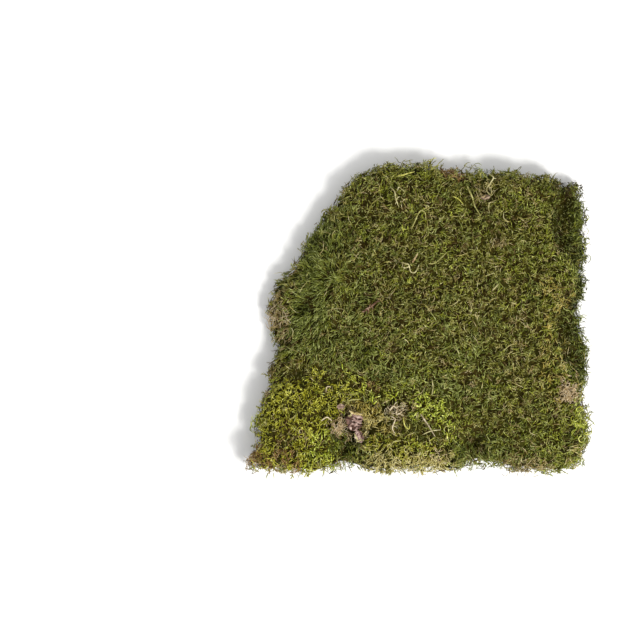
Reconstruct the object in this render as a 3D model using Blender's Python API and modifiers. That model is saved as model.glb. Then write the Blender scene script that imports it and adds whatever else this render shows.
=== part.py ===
"""A clump of moss with the litter caught in it, as solids in metres, +Z up.

The clump lies as it grew and is cut off flat where it left the ground. X runs to the
right and Y away from a viewer who looks down on it. Sizes below are in millimetres.
"""

import math

import bmesh
import bpy
from mathutils import Vector, noise
from mathutils.bvhtree import BVHTree

MM = 0.001
OBJECT_NAME = "moss_clump"
MIDDLE = (-2.5, 0.0)

PLATEAU = 39.0
GRID = 50
SIDE_RINGS = 5
EDGE_SHARE = 0.48
EDGE_ROUND = 15.0
FLANK_ROUND = 36.0
FLANK_TURN = math.radians(152.0)
BASE_TUCK = 13.0

SWELL = 3.0
SWELL_SPAN = 95.0
TUFT = 8.5
TUFT_SPAN = 21.0
EDGE_TUFT = 5.5
EDGE_TUFT_SPAN = 16.0

LEDGE_DROP = 13.0
LEDGE_FROM = -78.0
LEDGE_SOFT = 5.0

GAP = 0.4
STEM_STEPS = 2
STEM_SIDES_LEVEL = 1
LEAF_STEPS = 8
LEAF_POINT = 0.7
LEAF_THICKNESS = 0.5

OUTLINE = (
    (171, 0), (163, 11), (176, 22), (170, 46), (177, 64), (172, 95), (173, 121), (167, 140),
    (146, 146), (121, 150), (80, 154), (62, 157), (45, 154), (30, 157), (8, 162), (-17, 163),
    (-35, 165), (-66, 152), (-78, 142), (-86, 129), (-114, 88), (-139, 49), (-157, 34),
    (-161, 12), (-152, -34), (-163, -77), (-174, -117), (-172, -133), (-182, -152), (-166, -159),
    (-113, -164), (-96, -158), (-82, -153), (-69, -157), (-23, -161), (19, -159), (45, -154),
    (55, -148), (67, -152), (101, -160), (144, -161), (165, -151), (176, -135), (170, -86),
    (177, -36), (171, -16),
)

LEDGE_LINE = (
    (143, 131), (138, 105), (135, 81), (144, 67), (158, 57), (161, 28), (146, 14), (138, -3),
    (139, -24), (144, -39), (156, -55), (166, -75),
)

HOLLOWS = (
    (((-24, -86), (-48, -102), (-66, -116)), 8.0, 10.0),
    (((-72, -122), (-79, -138), (-82, -160)), 19.0, 11.0),
    (((-158, -52), (-112, -64), (-60, -72), (-34, -78)), 5.0, 9.0),
    (((45, 150), (47, 128), (52, 112)), 8.0, 8.0),
    (((66, 150), (72, 128)), 6.0, 8.0),
    (((56, -156), (55, -140), (48, -126)), 15.0, 9.0),
    (((-125, 14), (-125, 6)), 12.0, 7.0),
    (((-90, 128), (-120, 84), (-150, 36)), 8.0, 12.0),
    (((-165, 34), (-160, 10), (-150, -30)), 13.0, 15.0),
    (((147, 0), (149, -38)), 5.0, 8.0),
    (((150, 118), (145, 82)), 5.0, 8.0),
)

SWELLINGS = (
    ((-124, -108), 5.0, 34.0),
    ((-10, 120), 4.0, 42.0),
    ((118, -118), 4.0, 36.0),
    ((-20, -138), 3.0, 24.0),
    ((20, 10), 3.0, 70.0),
)

STEMS = {
    "straw_long": (((47, 137), (50, 130), (53, 123), (55, 115), (61, 105)), 2.2, 1.1, "straw"),
    "straw_top": (((-25, 147), (-20, 147), (-14, 149), (-7, 151)), 1.4, 1.2, "straw"),
    "straw_short": (((32, 125), (38, 122), (43, 117)), 1.5, 1.1, "straw"),
    "straw_arc": (((-104, -107), (-98, -103), (-93, -107)), 1.2, 1.4, "straw"),
    "straw_hooked": (((-99, -77), (-98, -72), (-94, -72)), 1.2, 1.3, "straw"),
    "straw_yellow": (((-11, 90), (-7, 99), (-2, 109), (3, 108), (4, 100)), 1.3, 1.0, "straw"),
    "straw_looped": (((-22, 56), (-14, 54), (-12, 47), (-7, 46), (-3, 54)), 1.6, 1.2, "straw"),
    "straw_middle": (((7, 55), (12, 55), (18, 59), (26, 67)), 1.2, 0.9, "straw"),
    "straw_cream": (((72, 27), (75, 30), (79, 34)), 1.7, 1.0, "straw"),
    "straw_upright": (((10, -64), (11, -72), (10, -80)), 1.1, 1.1, "straw"),
    "straw_low": (((-34, -133), (-29, -128), (-22, -127)), 1.3, 1.6, "straw"),
    "straw_ledge": (((-78, -90), (-75, -86), (-69, -85), (-63, -85)), 1.1, 1.1, "straw"),
    "stem_pale": (((-31, 133), (-28, 129), (-27, 122), (-24, 114)), 1.2, 1.6, "straw"),
    "stem_arched": (((-25, 130), (-24, 134), (-21, 132), (-17, 129)), 1.2, 0.9, "straw"),
    "stem_curly": (((70, 150), (75, 145), (69, 136), (68, 131), (72, 126)), 1.4, 1.2, "straw"),
    "stem_bent": (((69, 113), (70, 118), (75, 119)), 1.4, 1.2, "straw"),
    "stem_hook": (((-20, -103), (-18, -112), (-14, -115), (-13, -110)), 1.5, 1.1, "straw"),
    "sheath_red": (((-10, 56), (-7, 61), (-4, 66)), 2.2, 1.0, "twig"),
    "twig_red": (((-60, 6), (-55, 9), (-51, 12), (-45, 17)), 1.8, 1.1, "twig"),
    "twig_grey": (((-2, -100), (5, -110), (13, -123)), 1.3, 1.1, "twig"),
    "straw_crossing": (((0, -121), (9, -117), (19, -116)), 1.2, 1.0, "straw"),
    "root_knot": (((-34, -98), (-30, -92), (-26, -95), (-27, -100), (-21, -98)), 1.7, 1.3, "straw"),
    "root_arc": (((-33, -102), (-28, -105), (-31, -114), (-28, -120)), 1.3, 1.0, "straw"),
}
CROSSING_RISE = {"straw_crossing": 2.8}

LEAVES = {
    "leaf_folded": ((-70, -107), 76.0, 20.0, 15.0, 3.2, 2.6, 0.38),
    "leaf_curled": ((-65, -123), 112.0, 13.0, 8.0, 3.0, 0.5, -0.25),
    "leaf_scrap": ((-84, -92), 10.0, 8.0, 4.5, 1.2, 0.8, 0.20),
    "leaf_tan": ((66, 124), 8.0, 9.5, 4.2, 1.4, 0.6, 0.30),
}

FINISHES = {
    "moss": ((0.105, 0.100, 0.022, 1.0), 0.95),
    "straw": ((0.52, 0.45, 0.22, 1.0), 0.65),
    "twig": ((0.20, 0.11, 0.06, 1.0), 0.80),
    "leaf": ((0.33, 0.22, 0.16, 1.0), 0.75),
}


def clear_scene():
    """Removes the objects that a new file opens with."""
    for obj in list(bpy.data.objects):
        bpy.data.objects.remove(obj)


def collection_named(name):
    """A new collection in the scene."""
    made = bpy.data.collections.new(name)
    bpy.context.scene.collection.children.link(made)
    return made


def finish_named(name):
    """A plain material with the colour and roughness of one kind of piece."""
    colour, roughness = FINISHES[name]
    made = bpy.data.materials.new(name)
    made.use_nodes = True
    shader = made.node_tree.nodes["Principled BSDF"]
    shader.inputs["Base Color"].default_value = colour
    shader.inputs["Roughness"].default_value = roughness
    shader.inputs["Metallic"].default_value = 0.0
    return made


def smoothstep(low, high, value):
    """0 below low, 1 above high, and a soft S between."""
    t = min(max((value - low) / (high - low), 0.0), 1.0)
    return t * t * (3.0 - 2.0 * t)


def outline_radius(angle, turns):
    """The clump's reach from its middle in a direction, read between outline points."""
    for (a, near), (b, far) in zip(turns, turns[1:]):
        if a <= angle <= b:
            return near + (far - near) * (angle - a) / (b - a)
    return turns[0][1]


def outline_turns():
    """The outline points as (angle, reach), once round with a point to spare at each end."""
    turns = sorted((math.atan2(y, x), math.hypot(x, y)) for x, y in OUTLINE)
    full = 2.0 * math.pi
    before = (turns[-1][0] - full, turns[-1][1])
    after = (turns[0][0] + full, turns[0][1])
    return [before, *turns, after]


def path_distance(x, y, path):
    """The distance from a point to a line through several points."""
    here = Vector((x, y))
    best = 1e9
    for start, end in zip(path, path[1:]):
        a = Vector(start)
        run = Vector(end) - a
        t = min(max((here - a).dot(run) / run.length_squared, 0.0), 1.0)
        best = min(best, (here - a - run * t).length)
    return best


def ledge_edge(y):
    """How far right the main top reaches before it drops to the low step, read between points."""
    for (near, high), (far, low) in zip(LEDGE_LINE, LEDGE_LINE[1:]):
        if low <= y <= high:
            return far + (near - far) * (y - low) / (high - low)
    return LEDGE_LINE[0][0] if y > LEDGE_LINE[0][1] else LEDGE_LINE[-1][0]


def top_height(x, y):
    """The height of the shoot tips over a point, away from the clump's edge."""
    z = PLATEAU
    z += SWELL * noise.noise(Vector((x / SWELL_SPAN, y / SWELL_SPAN, 3.7)))
    for (cx, cy), rise, spread in SWELLINGS:
        z += rise * math.exp(-((x - cx) ** 2 + (y - cy) ** 2) / spread**2)
    for path, depth, half_width in HOLLOWS:
        z -= depth * math.exp(-((path_distance(x, y, path) / half_width) ** 2))
    edge = ledge_edge(y)
    past_ledge = smoothstep(edge - LEDGE_SOFT, edge + LEDGE_SOFT, x)
    z -= LEDGE_DROP * past_ledge * smoothstep(LEDGE_FROM - 20.0, LEDGE_FROM + 20.0, y)
    return z


def tuft_height(x, y, z):
    """The small pointed lumps that the shoots gather in, highest at each tuft's middle."""
    near = noise.voronoi(Vector((x, y, z)) / TUFT_SPAN)[0][0]
    return TUFT * (0.5 - near)


def edge_rounding(angle):
    """How far in from the outline the top starts to fall: furthest on the sloping left flank."""
    return EDGE_ROUND + FLANK_ROUND * max(math.cos(angle - FLANK_TURN), 0.0) ** 2


def grow_mat(bm, turns):
    """The clump: a grid drawn out to the outline, with rounded ragged sides and a flat base."""
    ring_of = bm.verts.layers.int.new("ring")
    bmesh.ops.create_grid(bm, x_segments=GRID, y_segments=GRID, size=1.0)
    rim = [edge for edge in bm.edges if edge.is_boundary]
    for ring in range(1, SIDE_RINGS + 1):
        grown = bmesh.ops.extrude_edge_only(bm, edges=rim)["geom"]
        for item in grown:
            if isinstance(item, bmesh.types.BMVert):
                item[ring_of] = ring
        rim = [item for item in grown if isinstance(item, bmesh.types.BMEdge) and item.is_boundary]
    bmesh.ops.edgeloop_fill(bm, edges=rim)
    for vert in bm.verts:
        place_vert(vert, vert[ring_of] / SIDE_RINGS, turns)
    bmesh.ops.recalc_face_normals(bm, faces=bm.faces)


def place_vert(vert, down, turns):
    """Moves a grid point to the clump's surface; down runs from 0 at the rim to 1 at the base."""
    u, v = vert.co.x, vert.co.y
    angle = math.atan2(v, u)
    share = max(abs(u), abs(v))
    reach = outline_radius(angle, turns)
    edge = Vector((math.cos(angle), math.sin(angle), 0.0)) * reach / EDGE_TUFT_SPAN
    reach += EDGE_TUFT * noise.noise(edge + Vector((0.0, 0.0, 2.2 * down)))
    inset = (1.0 - share) * reach
    out = reach * share - BASE_TUCK * down * down
    x, y = out * math.cos(angle), out * math.sin(angle)
    tip = top_height(x, y)
    if down > 0.0:
        z = tip * EDGE_SHARE * (1.0 - down)
        bulge = 0.6 * tuft_height(x, y, z) * math.sin(math.pi * down)
        x, y = x + bulge * math.cos(angle), y + bulge * math.sin(angle)
    else:
        drop = 1.0 - min(inset / edge_rounding(angle), 1.0)
        rounding = math.sqrt(max(1.0 - drop * drop, 0.0))
        z = tip * (EDGE_SHARE + (1.0 - EDGE_SHARE) * rounding) + tuft_height(x, y, 0.0) * rounding
    vert.co = Vector((x - MIDDLE[0], y - MIDDLE[1], z)) * MM


def object_from(bm, name, finish, parts):
    """Turns a mesh under construction into a named object of the part."""
    mesh = bpy.data.meshes.new(name)
    bm.to_mesh(mesh)
    bm.free()
    mesh.materials.append(finish)
    obj = bpy.data.objects.new(name, mesh)
    parts.objects.link(obj)
    return obj


def surface_under(tree, x, y, spread):
    """The clump's highest point within about spread of a place, in millimetres."""
    high = 0.0
    for dx in (-spread, 0.0, spread):
        for dy in (-spread, 0.0, spread):
            start = Vector((x - MIDDLE[0] + dx, y - MIDDLE[1] + dy, 200.0)) * MM
            hit = tree.ray_cast(start, Vector((0.0, 0.0, -1.0)))[0]
            if hit is not None:
                high = max(high, hit.z / MM)
    return high


def smooth_path(points, per_run):
    """A curve through the points, with per_run steps from each to the next."""
    ends = [Vector(point) for point in points]
    ends = [2.0 * ends[0] - ends[1], *ends, 2.0 * ends[-1] - ends[-2]]
    path = []
    for a, b, c, d in zip(ends, ends[1:], ends[2:], ends[3:]):
        for step in range(per_run):
            t = step / per_run
            pull = (2.0 * a - 5.0 * b + 4.0 * c - d) * t * t + (3.0 * b - a - 3.0 * c + d) * t**3
            path.append(b + 0.5 * ((c - a) * t + pull))
    return [*path, ends[-2]]


def laid_heights(path, radius, tree):
    """A straight fall between the ends' heights, raised wherever the moss is higher."""
    under = [surface_under(tree, x, y, radius + 0.5) for x, y in path]
    count = len(path) - 1
    heights = [max(z, under[0] + (under[-1] - under[0]) * n / count) for n, z in enumerate(under)]
    for n, (a, b) in enumerate(zip(path, path[1:])):
        for t in (0.25, 0.5, 0.75):
            here = a.lerp(b, t)
            level = heights[n] + (heights[n + 1] - heights[n]) * t
            short = max(surface_under(tree, here.x, here.y, radius + 0.5) - level, 0.0)
            heights[n] += short
            heights[n + 1] += short
    return [z + radius + GAP for z in heights]


def stem(name, parts, tree, finishes):
    """A straw, twig or root: a tapered round stem that lies on the moss along its path."""
    points, first_width, last_width, kind = STEMS[name]
    path = smooth_path(points, STEM_STEPS)
    widest = max(first_width, last_width) / 2.0
    heights = laid_heights(path, widest, tree)
    curve = bpy.data.curves.new(name, "CURVE")
    curve.dimensions = "3D"
    curve.bevel_depth = widest * MM
    curve.bevel_resolution = STEM_SIDES_LEVEL
    curve.use_fill_caps = True
    spline = curve.splines.new("POLY")
    spline.points.add(len(path) - 1)
    for n, (point, here, z) in enumerate(zip(spline.points, path, heights)):
        share = n / (len(path) - 1)
        width = first_width + (last_width - first_width) * share
        point.radius = width / 2.0 / widest * (1.0 - 0.4 * abs(2.0 * share - 1.0) ** 6)
        height = z + CROSSING_RISE.get(name, 0.0)
        point.co = ((here.x - MIDDLE[0]) * MM, (here.y - MIDDLE[1]) * MM, height * MM, 1.0)
    curve.materials.append(finishes[kind])
    obj = bpy.data.objects.new(name, curve)
    parts.objects.link(obj)
    return obj


def leaf(name, parts, tree, finishes):
    """A scrap of dead leaf: a thin pleated sheet, cupped, and wider towards one end."""
    centre, turn, length, width, curl, pleats, flare = LEAVES[name]
    bm = bmesh.new()
    bmesh.ops.create_grid(bm, x_segments=LEAF_STEPS, y_segments=LEAF_STEPS - 2, size=1.0)
    ahead = Vector((math.cos(math.radians(turn)), math.sin(math.radians(turn))))
    side = Vector((-ahead.y, ahead.x))
    places = {}
    floor = 0.0
    for vert in bm.verts:
        u, v = vert.co.x, vert.co.y
        ragged = 1.0 + 0.16 * noise.noise(Vector((3.0 * u, 3.0 * v, length)))
        half = 0.5 * width * ragged * (1.0 + flare * u) * (1.0 - LEAF_POINT * abs(u) ** 2.4)
        flat = Vector(centre) + ahead * (0.5 * length * u * ragged) + side * (half * v)
        pleat = 0.34 * math.sin(2.0 * math.pi * pleats * u + 1.2 * v)
        lift = curl * (0.55 * v * v + 0.25 * u * u + pleat)
        places[vert] = (flat, lift)
        floor = max(floor, surface_under(tree, flat.x, flat.y, 1.2) - lift)
    for vert, (flat, lift) in places.items():
        z = floor + lift + GAP + LEAF_THICKNESS
        vert.co = Vector((flat.x - MIDDLE[0], flat.y - MIDDLE[1], z)) * MM
    obj = object_from(bm, name, finishes["leaf"], parts)
    wall = obj.modifiers.new("thickness", "SOLIDIFY")
    wall.thickness = LEAF_THICKNESS * MM
    wall.offset = 0.0
    return obj


def build():
    """The moss clump, then each piece of litter laid on it."""
    clear_scene()
    parts = collection_named(OBJECT_NAME)
    finishes = {name: finish_named(name) for name in FINISHES}
    bm = bmesh.new()
    grow_mat(bm, outline_turns())
    tree = BVHTree.FromBMesh(bm)
    object_from(bm, "moss_mat", finishes["moss"], parts)
    for name in STEMS:
        stem(name, parts, tree, finishes)
    for name in LEAVES:
        leaf(name, parts, tree, finishes)


build()
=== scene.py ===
import math

import bpy
import numpy as np
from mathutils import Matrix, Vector


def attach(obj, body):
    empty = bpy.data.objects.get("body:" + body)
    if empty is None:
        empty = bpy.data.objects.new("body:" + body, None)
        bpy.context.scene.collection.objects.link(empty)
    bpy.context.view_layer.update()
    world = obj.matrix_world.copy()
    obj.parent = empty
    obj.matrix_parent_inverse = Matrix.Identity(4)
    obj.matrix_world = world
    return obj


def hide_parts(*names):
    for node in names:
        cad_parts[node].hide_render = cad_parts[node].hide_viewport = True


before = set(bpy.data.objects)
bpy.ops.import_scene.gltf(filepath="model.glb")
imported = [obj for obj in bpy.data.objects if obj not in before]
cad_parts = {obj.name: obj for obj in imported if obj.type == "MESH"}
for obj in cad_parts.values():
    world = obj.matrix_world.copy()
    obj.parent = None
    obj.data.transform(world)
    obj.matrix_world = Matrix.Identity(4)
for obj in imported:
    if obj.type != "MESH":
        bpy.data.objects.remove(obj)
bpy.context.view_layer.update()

mm = 0.001
rng = np.random.default_rng(2611)
upward = np.array([0.0, 0.0, 1.0])


class Value:
    # a socket in a sum: adding, multiplying and taking it from a number each add a Math node
    def __init__(self, finish, socket):
        self.finish = finish
        self.socket = socket

    def maths(self, operation, other, swapped=False):
        pair = (other, self) if swapped else (self, other)
        return self.finish.node("ShaderNodeMath", {"operation": operation}, dict(enumerate(pair)))

    def __add__(self, other):
        return self.maths("ADD", other)

    def __mul__(self, other):
        return self.maths("MULTIPLY", other)

    def __rsub__(self, other):
        return self.maths("SUBTRACT", other, True)


class Finish:
    # a Principled material and the nodes that feed it
    def __init__(self, name, roughness, specular):
        self.material = bpy.data.materials.new(name)
        self.material.use_nodes = True
        self.tree = self.material.node_tree
        self.shader = self.tree.nodes["Principled BSDF"]
        self.put(self.shader.inputs["Roughness"], roughness)
        self.put(self.shader.inputs["Specular IOR Level"], specular)

    def put(self, socket, value):
        if isinstance(value, Value):
            self.tree.links.new(value.socket, socket)
        else:
            socket.default_value = value

    def node(self, kind, settings=None, values=None, out=0):
        # any node: its settings first, then the values or links of its sockets
        made = self.tree.nodes.new(kind)
        for key, value in (settings or {}).items():
            if key == "stops":
                self.setStops(made.color_ramp, value)
            else:
                setattr(made, key, value)
        for key, value in (values or {}).items():
            self.put(made.inputs[key], value)
        return Value(self, made.outputs[out])

    def setStops(self, ramp, stops):
        while len(ramp.elements) < len(stops):
            ramp.elements.new(0.5)
        for element, (place, colour) in zip(ramp.elements, stops):
            element.position = place
            element.color = colour

    def mix(self, share, first, second, blend="MIX"):
        settings = {"data_type": "RGBA", "blend_type": blend}
        return self.node("ShaderNodeMix", settings, {0: share, 6: first, 7: second}, 2)

    def objectPlace(self):
        return self.node("ShaderNodeTexCoord", out=3)

    def noise(self, scale, detail):
        values = {"Vector": self.objectPlace(), "Scale": scale, "Detail": detail}
        return self.node("ShaderNodeTexNoise", None, values)

    def between(self, value, low, high):
        # 0 below low, 1 above high, straight between
        values = {0: value, 1: low, 2: high}
        return self.node("ShaderNodeMapRange", {"clamp": True}, values)

    def colour(self, value):
        self.put(self.shader.inputs["Base Color"], value)

    def bump(self, height, distance, strength=1.0):
        values = {"Height": height, "Distance": distance, "Strength": strength}
        self.put(self.shader.inputs["Normal"], self.node("ShaderNodeBump", None, values))


def linear(red, green, blue):
    # screen values 0 to 255 made the linear colour that sockets take
    shares = [part / 255 for part in (red, green, blue)]
    curve = [s / 12.92 if s < 0.04045 else ((s + 0.055) / 1.055) ** 2.4 for s in shares]
    return (*curve, 1.0)


def unit(vectors):
    # each vector over its length
    return vectors / np.maximum(np.linalg.norm(vectors, axis=-1, keepdims=True), 1e-9)


def smooth(low, high, value):
    # 0 below low, 1 above high, and the S curve t * t * (3 - 2 t) between
    t = np.clip((value - low) / (high - low), 0.0, 1.0)
    return t * t * (3.0 - 2.0 * t)


def drift(x, y, span, seed):
    # soft patches, most of them from -1 to 1: the sum of six plane waves of about one span, over 2.6
    waves = np.random.default_rng(seed)
    turn = waves.uniform(0.0, 2.0 * math.pi, 6)
    reach = span * waves.uniform(0.6, 1.5, 6)
    shift = waves.uniform(0.0, 2.0 * math.pi, 6)
    along = np.multiply.outer(x, np.cos(turn)) + np.multiply.outer(y, np.sin(turn))
    return np.sin(2.0 * math.pi * along / reach + shift).sum(-1) / 2.6


mapName = "OFBake"


def meshPiece(name, points, triangles, finish, marks=None, rounded=False):
    # arrays of points, triangles and map places made a mesh object
    mesh = bpy.data.meshes.new(name)
    mesh.vertices.add(len(points))
    mesh.vertices.foreach_set("co", points.astype(np.float32).ravel())
    mesh.loops.add(triangles.size)
    mesh.loops.foreach_set("vertex_index", triangles.astype(np.int32).ravel())
    mesh.polygons.add(len(triangles))
    mesh.polygons.foreach_set("loop_start", np.arange(0, triangles.size, 3, dtype=np.int32))
    if marks is not None:
        layer = mesh.uv_layers.new(name=mapName)
        layer.data.foreach_set("uv", marks.astype(np.float32).ravel())
    mesh.update(calc_edges=True)
    mesh.polygons.foreach_set("use_smooth", np.full(len(triangles), rounded))
    mesh.materials.append(finish.material)
    obj = bpy.data.objects.new(name, mesh)
    bpy.context.scene.collection.objects.link(obj)
    return obj


def bands(rings, sides):
    # two triangles for each side between each ring of points and the next
    around = np.arange(sides)
    rows = np.arange(rings - 1)[:, None] * sides
    this = rows + around
    after = rows + (around + 1) % sides
    lower = np.stack([this, after, this + sides], -1).reshape(-1, 3)
    higher = np.stack([after, after + sides, this + sides], -1).reshape(-1, 3)
    return np.concatenate([lower, higher])


# Width at the root, added at the middle and lost to the tip, as shares of the radius; change of
# tone from ring to ring; start and length on the map of the way from root to tip and of the
# tone; and how far apart a ring's corners lie there
strandValues = {
    "width": 0.74,
    "belly": 0.26,
    "taper": 0.45,
    "fleck": 0.16,
    "mapAlong": (0.01, 0.98),
    "mapTone": (0.01, 0.96),
    "mapApart": 0.008,
}


def strands(paths, radius, leafy, phase, reference, tone):
    # A strand is a three-sided tube along a path that ends in a point. Each ring is turned
    # 60 degrees from the last, and every second one is wide and set forward by leafy radii,
    # so that its corners stand out as leaf tips. Map: u runs root to tip, v is the tone, which
    # changes a little from ring to ring.
    count, steps = paths.shape[:2]
    rings = steps - 1
    run = unit(np.gradient(paths, axis=1))
    side = unit(np.cross(run, reference[:, None, :]))
    over = np.cross(run, side)
    ring = np.arange(rings)
    wide = (ring % 2).astype(float)
    share = ring / rings
    belly = strandValues["belly"] * np.sin(math.pi * share)
    profile = strandValues["width"] + belly - strandValues["taper"] * share**2
    width = radius[:, None] * profile * (1.0 - leafy[:, None] * (1.0 - wide))
    forward = (radius * leafy)[:, None] * wide
    centre = paths[:, :-1] + run[:, :-1] * forward[..., None]
    corner = np.arange(3) * 2.0 * math.pi / 3.0
    angle = phase[:, None, None] + ring[:, None] * math.pi / 3.0 + corner
    across = np.cos(angle)[..., None] * side[:, :-1, None]
    across = across + np.sin(angle)[..., None] * over[:, :-1, None]
    wall = centre[:, :, None] + width[..., None, None] * across
    points = np.concatenate([wall.reshape(count, rings * 3, 3), paths[:, -1:]], axis=1)
    end = rings * 3
    tip = [[end - 3, end - 2, end], [end - 2, end - 1, end], [end - 1, end - 3, end]]
    one = np.concatenate([bands(rings, 3), tip, [[0, 2, 1]]])
    triangles = one + (np.arange(count) * (end + 1))[:, None, None]
    along = np.append(np.repeat(share, 3), 1.0)
    apart = np.append(np.tile(np.arange(3), rings), 1.0) * strandValues["mapApart"]
    marks = np.empty((count, end + 1, 2))
    start, length = strandValues["mapAlong"]
    marks[..., 0] = start + length * along
    fleck = np.repeat(rng.normal(size=(count, rings)) * strandValues["fleck"], 3, axis=1)
    shown = tone[:, None] + np.concatenate([fleck, fleck[:, -1:]], axis=1)
    start, length = strandValues["mapTone"]
    marks[..., 1] = start + length * np.clip(shown, 0.0, 1.0) + apart
    return points.reshape(-1, 3), triangles.reshape(-1, 3), marks[:, one].reshape(-1, 2)


def bent(start, middle, end, steps):
    # the curve (1-t)^2 start + 2t(1-t) middle + t^2 end
    t = np.linspace(0.0, 1.0, steps)[:, None]
    return (1 - t) ** 2 * start[:, None] + 2 * t * (1 - t) * middle[:, None] + t * t * end[:, None]


print("floor, light and camera")
studio = {
    "floorSize": 4.0,
    "floorColour": (0.93, 0.93, 0.93, 1.0),
    "skyColour": (1.0, 1.0, 1.0, 1.0),
    "skyStrength": 0.75,
    "keyPlace": (0.9, -0.95, 1.5),
    "keySize": 0.55,
    "keyPower": 42.0,
    "keyColour": (1.0, 0.985, 0.95),
}


def addFloor():
    # a white square round the origin
    half = studio["floorSize"] / 2
    corners = np.array([[-half, -half, 0], [half, -half, 0], [half, half, 0], [-half, half, 0]])
    finish = Finish("floorWhite", 0.9, 0.1)
    finish.colour(studio["floorColour"])
    floor = meshPiece("floor", corners, np.array([[0, 1, 2], [0, 2, 3]]), finish)


def addLight():
    # a white sky, and a round lamp that points at the origin
    world = bpy.data.worlds.new("softSky")
    world.use_nodes = True
    sky = world.node_tree.nodes["Background"]
    sky.inputs["Color"].default_value = studio["skyColour"]
    sky.inputs["Strength"].default_value = studio["skyStrength"]
    bpy.context.scene.world = world
    lamp = bpy.data.lights.new("key", "AREA")
    lamp.shape = "DISK"
    lamp.size = studio["keySize"]
    lamp.energy = studio["keyPower"]
    lamp.color = studio["keyColour"]
    key = bpy.data.objects.new("key", lamp)
    key.location = studio["keyPlace"]
    key.rotation_euler = Vector(-np.array(studio["keyPlace"])).to_track_quat("-Z", "Y").to_euler()
    bpy.context.scene.collection.objects.link(key)


# the photo's scale at the height of the shoots, the place at its middle, the camera's distance
view = {
    "pixelSize": 1.03 * mm,
    "pixels": 640,
    "centre": (-0.1026, -0.0031),
    "topHeight": 0.040,
    "distance": 1.665,
    "tilt": math.radians(3.0),
    "sensor": 36.0,
    "clipEnd": 20.0,
}


def addCamera():
    # above the photo's middle, leaning a little from the near side
    lens = bpy.data.cameras.new("photoCamera")
    lens.sensor_width = view["sensor"]
    lens.lens = view["sensor"] * view["distance"] / (view["pixels"] * view["pixelSize"])
    lens.clip_end = view["clipEnd"]
    camera = bpy.data.objects.new("photoCamera", lens)
    back = view["distance"] * math.sin(view["tilt"])
    rise = view["distance"] * math.cos(view["tilt"])
    across, ahead = view["centre"]
    camera.location = (across, ahead - back, view["topHeight"] + rise)
    camera.rotation_euler = (view["tilt"], 0.0, 0.0)
    bpy.context.scene.collection.objects.link(camera)
    bpy.context.scene.camera = camera
    bpy.context.scene.view_settings.view_transform = "Standard"


addFloor()
addLight()
addCamera()


print("surface of the clump")


def readSurface(name):
    # the solid's points joined where they meet, its triangles, and a normal at each point
    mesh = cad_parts[name].data
    mesh.calc_loop_triangles()
    raw = np.empty(len(mesh.vertices) * 3)
    mesh.vertices.foreach_get("co", raw)
    corners = np.empty(len(mesh.loop_triangles) * 3, dtype=np.int32)
    mesh.loop_triangles.foreach_get("vertices", corners)
    points, joined = np.unique(raw.reshape(-1, 3).round(6), axis=0, return_inverse=True)
    triangles = joined.reshape(-1)[corners].reshape(-1, 3)
    a, b, c = (points[triangles[:, n]] for n in range(3))
    facing = np.cross(b - a, c - a)
    normals = np.zeros_like(points)
    for n in range(3):
        np.add.at(normals, triangles[:, n], facing)
    return points, triangles, unit(normals), facing


matPoints, matTriangles, matNormals, matFacing = readSurface("moss_mat")
matAreas = np.linalg.norm(matFacing, axis=1) / 2
matUpward = unit(matFacing)[:, 2]
underneath = matUpward < -0.75
litterPoints = np.concatenate([readSurface(name)[0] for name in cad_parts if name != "moss_mat"])


def squares(x, y, points):
    # the square of the level distance from each place to each point
    return (x[:, None] - points[:, 0]) ** 2 + (y[:, None] - points[:, 1]) ** 2


def anyTurn(count):
    # a chance angle from none to a full circle for each of count strands
    return rng.uniform(0.0, 2.0 * math.pi, count)


def spread(count, weight):
    # places on the clump, each by chance within its own equal share of all area times weight
    total = np.cumsum(matAreas * weight)
    at = (np.arange(count) + rng.random(count)) / count * total[-1]
    chosen = np.searchsorted(total, at).clip(0, len(total) - 1)
    u = np.sqrt(rng.random(count))
    v = rng.random(count)
    shares = np.stack([1 - u, u * (1 - v), u * v], -1)[..., None]
    place = (matPoints[matTriangles[chosen]] * shares).sum(1)
    facing = unit((matNormals[matTriangles[chosen]] * shares).sum(1))
    return place, facing


print("core")
coreValues = {
    "depth": 6.5 * mm,
    "roughness": 1.6 * mm,
    "patch": 9.0 * mm,
    "fadeBelow": 8.0 * mm,
    "lift": 1.7 * mm,
    "drawnIn": 4.0 * mm,
    "feltBelow": (2.0 * mm, 6.0 * mm),
    # the mat's own brown, darkened as painted shade in the gaps between shoots
    "coreBrownAndShade": [(30, 24, 1), (70, 58, 12)],
    "green": (56, 55, 10),
    "felt": [(58, 44, 27), (126, 102, 68)],
}


def coreFinish():
    # two dark browns by fine noise, the mat's own brown made darker as painted shade in the gaps between the
    # shoots, green in broad patches, and brown felt low down
    finish = Finish("matted_core", 0.95, 0.15)
    fine = finish.noise(420.0, 5.0)
    broad = finish.noise(60.0, 2.0)
    # the mat's own brown with painted shade in the gaps between shoots
    coreBrownAndShade = [linear(*screen) for screen in coreValues["coreBrownAndShade"]]
    dark = finish.mix(finish.between(fine, 0.35, 0.7), *coreBrownAndShade)
    body = finish.mix(finish.between(broad, 0.4, 0.65), dark, linear(*coreValues["green"]))
    brown = [linear(*screen) for screen in coreValues["felt"]]
    felt = finish.mix(finish.between(fine, 0.35, 0.65), *brown)
    height = finish.node("ShaderNodeSeparateXYZ", None, {0: finish.objectPlace()}, 2)
    finish.colour(finish.mix(finish.between(height, *coreValues["feltBelow"]), felt, body))
    finish.bump(fine, 2.0 * mm)
    return finish


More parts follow.
